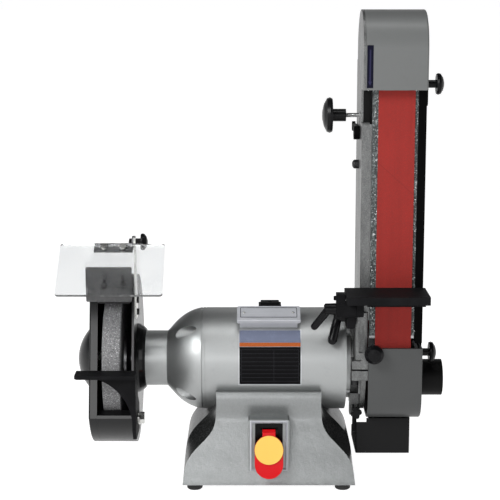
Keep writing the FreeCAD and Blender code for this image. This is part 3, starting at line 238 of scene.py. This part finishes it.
def belt_cloth(name):
    """Red-brown aluminium oxide belt: fine grit, faint lengthwise streaks, a slanting butt joint."""
    red, dark, bright = (0.232, 0.015, 0.011), (0.140, 0.010, 0.008), (0.355, 0.050, 0.039)
    look = Look(name, Specular_IOR_Level=0.28, Sheen_Weight=0.12, Sheen_Roughness=0.4)
    grain = look.cells(2300.0, output="Color")
    streak = look.noise(120.0, 4.0, 0.6, at=look.stretched(1.0, 1.0, 0.03))
    cloud = look.noise(14.0, 5.0)
    colour = look.ramp(grain, (0.0, dark), (0.45, red), (0.85, shade(red, 1.2)), (0.98, bright))
    colour = look.mix(look.ramp(streak, (0.45, 0.0), (0.75, 0.25)), colour, dark)
    colour = look.mix(look.ramp(cloud, (0.45, 0.0), (0.8, 0.22)), colour, shade(red, 1.35))
    slant = look.math("ADD", look.axis("Z"), look.math("MULTIPLY", look.axis("X"), JOINT_SLANT))
    joint = look.math("COMPARE", slant, JOINT_HEIGHT)
    joint.node.inputs[2].default_value = JOINT_HALF_WIDTH
    colour = look.mix(look.math("MULTIPLY", joint, 0.3), colour, shade(dark, 0.45))
    roughness = look.spread(grain, 0.62, 0.95)
    return look.finish(colour, roughness, look.bump(grain, 0.55, 0.0003))


def rubber(name, tone=(0.018, 0.018, 0.018)):
    """Black rubber with a dusty bloom."""
    look = Look(name, Specular_IOR_Level=0.3)
    bloom = look.noise(70.0, 6.0, 0.6)
    colour = look.mix(look.ramp(bloom, (0.45, 0.0), (0.8, 0.7)), tone, shade(tone, 2.6))
    roughness = look.spread(bloom, 0.6, 0.9)
    return look.finish(colour, roughness, look.bump(look.noise(1300.0, 3.0), 0.25, 0.0003))


def clear_sheet(name):
    """Clear polycarbonate with faint haze and hairline scratches."""
    look = Look(name, Transmission_Weight=1.0, IOR=1.5, Alpha=0.9)
    hair = look.noise(700.0, 2.0, at=look.stretched(0.03, 1.0, 1.0))
    haze = look.noise(24.0, 5.0)
    colour = look.mix(look.ramp(haze, (0.4, 0.0), (0.8, 1.0)), (0.90, 0.915, 0.92), (0.84, 0.86, 0.87))
    roughness = look.spread(hair, 0.01, 0.05, **{"From Min": 0.55, "From Max": 0.75})
    return look.finish(colour, roughness, look.bump(hair, 0.01, 0.0001))


def windings(name):
    """Enamelled copper wire, turn beside turn."""
    look = Look(name, Metallic=0.7)
    inputs = {"Vector": look.place, "Scale": 260.0, "Distortion": 1.5, "Detail": 2.0}
    turns = look.add("ShaderNodeTexWave", inputs, bands_direction="X").outputs["Fac"]
    dark, copper, bright = (0.16, 0.05, 0.015), (0.50, 0.19, 0.06), (0.70, 0.32, 0.12)
    colour = look.ramp(turns, (0.0, dark), (0.5, copper), (1.0, bright))
    return look.finish(colour, 0.35, look.bump(turns, 0.6, 0.0005))


def floor_finish(name):
    """Pale floor that gives a little light, so that it is as bright as the horizon."""
    white = (1.0, 1.0, 1.0, 1.0)
    look = Look(name, Specular_IOR_Level=0.1, Emission_Color=white, Emission_Strength=0.97)
    soft = look.noise(3.0, 3.0)
    colour = look.mix(look.ramp(soft, (0.3, 0.0), (0.7, 1.0)), (0.30, 0.30, 0.30), (0.32, 0.32, 0.32))
    return look.finish(colour, 0.75, look.bump(look.noise(300.0, 2.0), 0.02, 0.0003))


def arm_casting(name, cap_low, web_x):
    """Sand-cast arm: granular aluminium skin, machined sheen low down, and painted shade inside the cap:
    near-black and not metallic.
    """
    look = Look(name, Specular_IOR_Level=0.1)
    grain = look.cells(1500.0, output="Color")
    patch = look.noise(90.0, 6.0, 0.7, at=look.stretched(1.0, 1.0, 0.3))
    tone = (0.165, 0.168, 0.167)
    colour = look.ramp(grain, (0.0, shade(tone, 0.55)), (0.6, tone), (1.0, shade(tone, 1.5)))
    colour = look.mix(look.ramp(patch, (0.45, 0.0), (0.7, 0.55)), colour, shade(tone, 0.35))
    # Painted shade: above cap_low and right of web_x the arm is painted near-black and made non-metallic, as
    # under the cap.
    inside = look.math("MULTIPLY", look.math("GREATER_THAN", look.axis("Z"), cap_low),
                       look.math("GREATER_THAN", look.axis("X"), web_x))
    colour = look.mix(inside, colour, (0.003, 0.003, 0.003))
    rough = look.spread(patch, 0.28, 0.5)
    metal = look.math("SUBTRACT", 0.85, look.math("MULTIPLY", inside, 0.85))
    return look.finish(colour, rough, look.bump(grain, 0.35, 0.0004), metal)


def two_tone_knob(name, stud_from):
    """Black moulded knob whose threaded stud, right of stud_from, is bright steel."""
    look = Look(name, Specular_IOR_Level=0.12)
    stud = look.math("GREATER_THAN", look.axis("X"), stud_from)
    smear = look.noise(90.0, 6.0, 0.65)
    inputs = {"Vector": look.place, "Scale": 320.0}
    thread = look.add("ShaderNodeTexWave", inputs, bands_direction="X").outputs["Fac"]
    steel = look.ramp(thread, (0.2, 0.45), (0.7, 0.95))
    plastic = look.mix(smear, (0.003, 0.003, 0.0035), (0.006, 0.006, 0.0065))
    rough = look.spread(smear, 0.22, 0.36)
    relief = look.bump(look.math("MULTIPLY", thread, stud), 0.8, 0.0006)
    return look.finish(look.mix(stud, plastic, steel), rough, relief, stud)


def flat_print(name, tone, rough=0.4):
    """Ink or foil on a plate: a little mottled and scuffed."""
    look = Look(name, Specular_IOR_Level=0.05)
    scuff = look.noise(160.0, 6.0, 0.7)
    colour = look.mix(look.ramp(scuff, (0.5, 0.0), (0.8, 0.5)), tone, shade(tone, 1.5))
    roughness = look.spread(scuff, rough - 0.08, rough + 0.2)
    return look.finish(colour, roughness, look.bump(scuff, 0.05, 0.0001))


FINISHES = {
    "base_paint": silver_paint(
        "base_paint", (0.26, 0.27, 0.27), rough=0.36, metallic=0.85, peel=0.30, painted_shade_flanks=True,
    ),
    "barrel_paint": silver_paint("barrel_paint", (0.36, 0.37, 0.37), rough=0.43, metallic=0.9, peel=0.02),
    "cap_paint": silver_paint("cap_paint", (0.105, 0.109, 0.108), rough=0.46, metallic=0.1, peel=0.05),
    "lower_paint": silver_paint("lower_paint", (0.040, 0.042, 0.042), rough=0.46, metallic=0.1, peel=0.05),
    "guard_black": black_enamel("guard_black", 0.28, (0.0035, 0.0035, 0.004)),
    "satin_black": powder_black("satin_black", (0.001, 0.001, 0.0011), 0.5),
    "rest_black": powder_black("rest_black", (0.006, 0.006, 0.0065), 0.5, 0.25),
    "table_black": powder_black("table_black", (0.006, 0.006, 0.0065), 0.52, 0.12),
    "knob_plastic": moulded_plastic("knob_plastic", (0.0035, 0.0035, 0.004), 0.24),
    "tracking_knob": two_tone_knob("tracking_knob", TRACKING_STUD_X),
    "port_plastic": moulded_plastic("port_plastic", (0.001, 0.001, 0.0011), 0.5, grain=0.3),
    "tray_plastic": moulded_plastic("tray_plastic", (0.006, 0.006, 0.0063), 0.5, grain=0.3),
    "paddle_red": moulded_plastic("paddle_red", (0.46, 0.001, 0.004), 0.42, coat=0.04),
    "key_yellow": moulded_plastic("key_yellow", (0.64, 0.41, 0.080), 0.4, coat=0.05),
    "rubber": rubber("rubber"),
    "turned_steel": brushed_metal("turned_steel", (0.46, 0.46, 0.47), "Z"),
    "bright_steel": plated("bright_steel"),
    "bracket_steel": brushed_metal("bracket_steel", (0.17, 0.17, 0.175), "Y", 0.38, 0.8, 700.0, 0.2),
    "black_oxide": brushed_metal("black_oxide", (0.016, 0.016, 0.017), "X", 0.38, 0.5, 700.0, 0.15),
    "arm_metal": arm_casting("arm_metal", CAP_SHADE_Z, ARM_WEB_X),
    "wheel_metal": brushed_metal("wheel_metal", (0.50, 0.50, 0.51), "X", 0.36, 0.9, 500.0, 0.2),
    "badge_metal": brushed_metal("badge_metal", (0.42, 0.43, 0.46), "X", 0.34, 0.25, 1400.0),
    "lamination": brushed_metal("lamination", (0.22, 0.22, 0.23), "Y", 0.45, 0.8, 1800.0, 0.5),
    "windings": windings("windings"),
    "wheel_grit": grit("wheel_grit", (0.165, 0.165, 0.168), (0.52, 0.52, 0.53), 900.0),
    "arrestor_grit": grit(
        "arrestor_grit", (0.065, 0.065, 0.066), (0.22, 0.22, 0.22), 1200.0, rough=0.6, depth=0.0003,
        strength=0.5, metallic=0.35,
    ),
    "graphite": grit(
        "graphite", (0.055, 0.062, 0.062), (0.75, 0.76, 0.76), 560.0, rough=0.55, depth=0.0008,
        strength=1.0, metallic=0.4, lift=3.4,
    ),
    "belt": belt_cloth("belt"),
    "clear": clear_sheet("clear"),
    "plate_foil": brushed_metal("plate_foil", (0.50, 0.51, 0.53), "X", 0.34, 0.8, 1500.0),
    "plate_pale": flat_print("plate_pale", (0.115, 0.130, 0.185)),
    "plate_amber": flat_print("plate_amber", (0.30, 0.075, 0.02)),
    "plate_black": flat_print("plate_black", (0.003, 0.003, 0.0035)),
    "plate_grid": flat_print("plate_grid", (0.020, 0.020, 0.023)),
    "strip_navy": flat_print("strip_navy", (0.004, 0.004, 0.012)),
    "strip_mark": flat_print("strip_mark", (0.02, 0.02, 0.05)),
}

NODE_FINISH = {
    "base_paint": ["base_casting"],
    "barrel_paint": ["motor_shell", "end_bell_left", "end_bell_right"],
    "cap_paint": ["upper_cap"],
    "lower_paint": ["lower_guard"],
    "guard_black": ["guard_body", "guard_cover"],
    "rest_black": ["tool_rest", "table_bracket"],
    "satin_black": ["side_cover", "tension_lever", "capacitor"],
    "table_black": ["work_table", "lifting_pad"],
    "knob_plastic": [
        "cover_knob_lower", "cover_knob_upper", "guard_knob", "shield_knob", "table_tilt_lever",
        "table_slide_lever", "tray_thumbscrew", "switch_plate", "cord_gland",
    ],
    "tracking_knob": ["tracking_knob"],
    "port_plastic": ["dust_port"],
    "tray_plastic": ["spark_tray"],
    "paddle_red": ["switch_paddle"],
    "key_yellow": ["safety_key"],
    "rubber": ["rubber_feet", "drive_wheel_tyre"],
    "turned_steel": [
        "shaft", "bearing_inner_rings", "bearing_outer_rings", "bearing_balls", "wheel_flanges",
        "platen", "tension_spring",
    ],
    "bright_steel": ["shield_rivets", "shield_arm", "tool_rest_bolt", "tie_bolts", "spindle_nuts"],
    "bracket_steel": ["shield_bracket"],
    "black_oxide": ["arm_screws", "guard_screws", "tension_slider", "idler_axle"],
    "arrestor_grit": ["spark_arrestor"],
    "arm_metal": ["arm_frame"],
    "wheel_metal": ["drive_wheel", "idler_wheel"],
    "badge_metal": ["motor_badge"],
    "lamination": ["stator_core", "rotor_core"],
    "windings": ["stator_windings"],
    "wheel_grit": ["grinding_wheel"],
    "graphite": ["platen_pad"],
    "belt": ["abrasive_belt"],
    "clear": ["eye_shield"],
}


def paint_nodes():
    for finish, names in NODE_FINISH.items():
        for name in names:
            mesh = nodes[name].data
            mesh.materials.clear()
            mesh.materials.append(FINISHES[finish])
    bare = sorted(set(nodes) - {n for names in NODE_FINISH.values() for n in names})
    if bare:
        raise RuntimeError(f"no finish for {bare}")


# ---------------------------------------------------------------- extra pieces
def piece(name, mesh, finish, body):
    mesh.materials.append(FINISHES[finish])
    made = bpy.data.objects.new(name, mesh)
    bpy.context.scene.collection.objects.link(made)
    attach(made, body)
    return made


def solid_mesh(name, bm, smooth=False):
    bmesh.ops.recalc_face_normals(bm, faces=bm.faces)
    mesh = bpy.data.meshes.new(name)
    bm.to_mesh(mesh)
    bm.free()
    for face in mesh.polygons:
        face.use_smooth = smooth
    return mesh


def wrapped_patch(bm, x0, x1, low, high, radius, thick, steps=24):
    """Adds a thin curved panel that hugs the barrel between two angles up from its front."""
    rings = []
    for i in range(steps + 1):
        a = math.radians(low + (high - low) * i / steps)
        y, z = -math.cos(a), math.sin(a)
        corners = ((x0, radius), (x1, radius), (x1, radius + thick), (x0, radius + thick))
        rings.append([bm.verts.new((x * MM, y * r * MM, AXIS_Z + z * r * MM)) for x, r in corners])
    for a, b in zip(rings, rings[1:]):
        for k in range(4):
            bm.faces.new((a[k], a[(k + 1) % 4], b[(k + 1) % 4], b[k]))
    bm.faces.new(rings[0])
    bm.faces.new(rings[-1])


def make_rating_plate():
    """Blank rating plate on the barrel: a pale header, an amber rule and a dark field with an empty grid."""
    x0, x1 = PLATE_X
    low, high = PLATE_ANGLES
    layers = (
        ("rating_plate", "plate_foil", [(x0, x1, low, high)], 0.00),
        ("rating_header", "plate_pale", [(x0 + 1.5, x1 - 1.5, high - 16.0, high - 1.5)], 0.30),
        ("rating_rule", "plate_amber", [(x0 + 1.5, x1 - 1.5, high - 20.5, high - 16.2)], 0.30),
        ("rating_field", "plate_black", [(x0 + 1.5, x1 - 1.5, low + 1.5, high - 21.0)], 0.30),
        ("rating_grid", "plate_grid", [
            (x0 + 4.0, x1 - 4.0, low + 5.0 + 4.4 * i, low + 5.35 + 4.4 * i) for i in range(9)
        ] + [(x, x + 0.5, low + 5.0, low + 40.55) for x in (x0 + 4.0, x0 + 50.0, x1 - 4.5)], 0.55),
    )
    for name, finish, patches, lift in layers:
        bm = bmesh.new()
        for patch in patches:
            wrapped_patch(bm, *patch, MOTOR_R / MM + 0.05 + lift, 0.22)
        piece(name, solid_mesh(name, bm), finish, "stand")


def flat_panel(bm, corners, normal, lift, thick):
    """Adds a thin flat panel from its corners, standing off along its normal."""
    lower = [bm.verts.new(c + normal * lift) for c in corners]
    upper = [bm.verts.new(c + normal * (lift + thick)) for c in corners]
    count = len(corners)
    bm.faces.new(lower)
    bm.faces.new(upper)
    for k in range(count):
        bm.faces.new((lower[k], lower[(k + 1) % count], upper[(k + 1) % count], upper[k]))


def make_badge_face():
    """Plain badge: a dark outline frame and two rivets, with nothing written on it."""
    tilt = math.radians(BADGE_TILT)
    out = Vector((0.0, -math.cos(tilt), math.sin(tilt)))
    up = Vector((0.0, math.sin(tilt), math.cos(tilt)))
    centre = Vector((0.0, 0.0, AXIS_Z)) + out * BADGE_R * MM

    def at(x, t):
        return centre + Vector((x * MM, 0.0, 0.0)) + up * t * MM

    bm = bmesh.new()
    x0, x1, t0, t1, line = -40.5, 40.5, -7.5, 12.5, 0.9
    bars = (
        (x0, x1, t0, t0 + line), (x0, x1, t1 - line, t1),
        (x0, x0 + line, t0 + line, t1 - line), (x1 - line, x1, t0 + line, t1 - line),
    )
    for a, b, c, d in bars:
        flat_panel(bm, [at(a, c), at(b, c), at(b, d), at(a, d)], out, 0.00004, 0.0002)
    piece("badge_outline", solid_mesh("badge_outline", bm), "plate_grid", "stand")
    bm = bmesh.new()
    turn = out.to_track_quat("Z", "Y").to_matrix().to_4x4()
    for x in (-35.0, 35.0):
        place = Matrix.Translation(at(x, 2.5) + out * 0.0004) @ turn
        bmesh.ops.create_cone(
            bm, cap_ends=True, segments=24, radius1=0.0019, radius2=0.0012, depth=0.0008, matrix=place,
        )
    piece("badge_rivets", solid_mesh("badge_rivets", bm, True), "bright_steel", "stand")


def make_switch_bezel():
    """Stepped bright frame round the switch, on the raised pad of the base."""
    bm = bmesh.new()
    pad_y = PAD_FRONT * MM
    for inset, lift, width in ((0.0, 0.0001, 3.2), (2.2, 0.0012, 1.0)):
        half_w, z0, z1 = 26.5 - inset, 29.5 + inset, 102.5 - inset
        outer = [(-half_w, z0), (half_w, z0), (half_w, z1), (-half_w, z1)]
        in_w, in_z0, in_z1 = half_w - width, z0 + width, z1 - width
        inner = [(-in_w, in_z0), (in_w, in_z0), (in_w, in_z1), (-in_w, in_z1)]
        ring = []
        for (x, z), (u, w) in zip(outer, inner):
            crest = ((x + u) / 2, (z + w) / 2)
            section = (((x, z), lift), (crest, lift + 0.0011), ((u, w), lift))
            ring.append([bm.verts.new((a * MM, pad_y - h, b * MM)) for (a, b), h in section])
        for k in range(4):
            a, b = ring[k], ring[(k + 1) % 4]
            for m in range(2):
                bm.faces.new((a[m], a[m + 1], b[m + 1], b[m]))
            bm.faces.new((a[2], a[0], b[0], b[2]))
    piece("switch_bezel", solid_mesh("switch_bezel", bm), "badge_metal", "stand")


def make_arrow_strip():
    """Dark strip on the cap's front with a plain arrow for the way the belt runs."""
    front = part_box("upper_cap")[0].y
    normal = Vector((0.0, -1.0, 0.0))

    def at(x, z):
        return Vector((x * MM, front, z * MM))

    x0, x1, z0, z1 = STRIP
    bm = bmesh.new()
    flat_panel(bm, [at(x0, z0), at(x1, z0), at(x1, z1), at(x0, z1)], normal, 0.00005, 0.00025)
    piece("arrow_strip", solid_mesh("arrow_strip", bm), "strip_navy", "belt_arm")
    middle = (x0 + x1) / 2
    outline = [(middle, z0 + 3), (middle + 2.6, z0 + 9), (middle + 1.0, z0 + 9), (middle + 1.0, z1 - 6),
               (middle - 1.0, z1 - 6), (middle - 1.0, z0 + 9), (middle - 2.6, z0 + 9)]
    bm = bmesh.new()
    flat_panel(bm, [at(x, z) for x, z in outline], normal, 0.00035, 0.0001)
    piece("arrow_mark", solid_mesh("arrow_mark", bm), "strip_mark", "belt_arm")


def soften_edges():
    """Small rounds on the sharp edges of cast and sheet parts, so that they catch the light."""
    for name, width in SOFT_EDGES.items():
        bevel = nodes[name].modifiers.new("edge", "BEVEL")
        bevel.width = width * MM
        bevel.segments = 2
        bevel.limit_method = "ANGLE"
        bevel.angle_limit = math.radians(38.0)
        bevel.harden_normals = True


# ---------------------------------------------------------------- studio
FLOOR_REACH = 80.0
CAMERA_PLACE, CAMERA_PITCH = (-0.02656, -2.05047, 0.68954), 80.0
LENS, SENSOR = 103.68, 36.0
# Sky grey against the sine of the height above the horizon.
SKY = ((0.0, 1.0), (0.08, 0.85), (0.24, 0.16), (0.6, 0.04), (1.0, 0.04))
LAMPS = (    # name, place, target, size in metres, and watts
    ("key", (-1.4, -1.6, 1.8), (-0.10, 0.0, 0.2), (1.2, 1.0), 66.0),
    ("side", (2.2, -1.0, 0.8), (0.05, 0.0, 0.3), (0.5, 1.2), 4.0),
    ("front", (-0.5, -2.5, 0.8), (-0.1, 0.0, 0.2), (1.6, 0.35), 13.0),
    ("above", (0.1, -0.5, 2.3), (0.05, 0.0, 0.3), (1.0, 0.5), 10.0),
    ("back", (0.2, 2.2, 1.6), (0.0, 0.0, 0.3), (1.6, 1.0), 3.0),
)


def aim(obj, target):
    obj.rotation_euler = (Vector(target) - obj.location).to_track_quat("-Z", "Y").to_euler()


def area_light(name, place, target, size, power):
    data = bpy.data.lights.new(name, "AREA")
    data.shape = "RECTANGLE"
    data.size, data.size_y = size
    data.energy = power
    lamp = bpy.data.objects.new(name, data)
    bpy.context.scene.collection.objects.link(lamp)
    lamp.location = place
    aim(lamp, target)


def make_world():
    """Pale horizon under a dim sky, so that metal shows dark tops and bright flanks."""
    world = bpy.data.worlds.new("studio")
    bpy.context.scene.world = world
    world.use_nodes = True
    tree = world.node_tree
    place = tree.nodes.new("ShaderNodeTexCoord")
    split = tree.nodes.new("ShaderNodeSeparateXYZ")
    tree.links.new(place.outputs["Generated"], split.inputs["Vector"])
    ramp = tree.nodes.new("ShaderNodeValToRGB")
    tree.links.new(split.outputs["Z"], ramp.inputs["Fac"])
    while len(ramp.color_ramp.elements) < len(SKY):
        ramp.color_ramp.elements.new(0.5)
    for element, (height, grey) in zip(ramp.color_ramp.elements, SKY):
        element.position = height
        element.color = (grey, grey, grey * 1.02, 1.0)
    background = tree.nodes["Background"]
    tree.links.new(ramp.outputs["Color"], background.inputs["Color"])
    background.inputs["Strength"].default_value = 1.0
    bpy.context.scene.view_settings.view_transform = "Standard"


def make_studio():
    mesh = bpy.data.meshes.new("floor")
    corners = [(-FLOOR_REACH, -FLOOR_REACH, 0), (FLOOR_REACH, -FLOOR_REACH, 0),
               (FLOOR_REACH, FLOOR_REACH, 0), (-FLOOR_REACH, FLOOR_REACH, 0)]
    mesh.from_pydata(corners, [], [(0, 1, 2, 3)])
    mesh.materials.append(floor_finish("floor"))
    floor = bpy.data.objects.new("floor", mesh)
    floor.location.z = -0.0005
    bpy.context.scene.collection.objects.link(floor)
    make_world()
    for name, place, target, size, power in LAMPS:
        area_light(name, place, target, size, power)


def make_camera():
    data = bpy.data.cameras.new("camera")
    data.lens = LENS
    data.sensor_width = SENSOR
    camera = bpy.data.objects.new("camera", data)
    camera.location = CAMERA_PLACE
    camera.rotation_euler = (math.radians(CAMERA_PITCH), 0.0, 0.0)
    bpy.context.scene.collection.objects.link(camera)
    bpy.context.scene.camera = camera


paint_nodes()
make_rating_plate()
make_badge_face()
make_switch_bezel()
make_arrow_strip()
soften_edges()
make_studio()
make_camera()
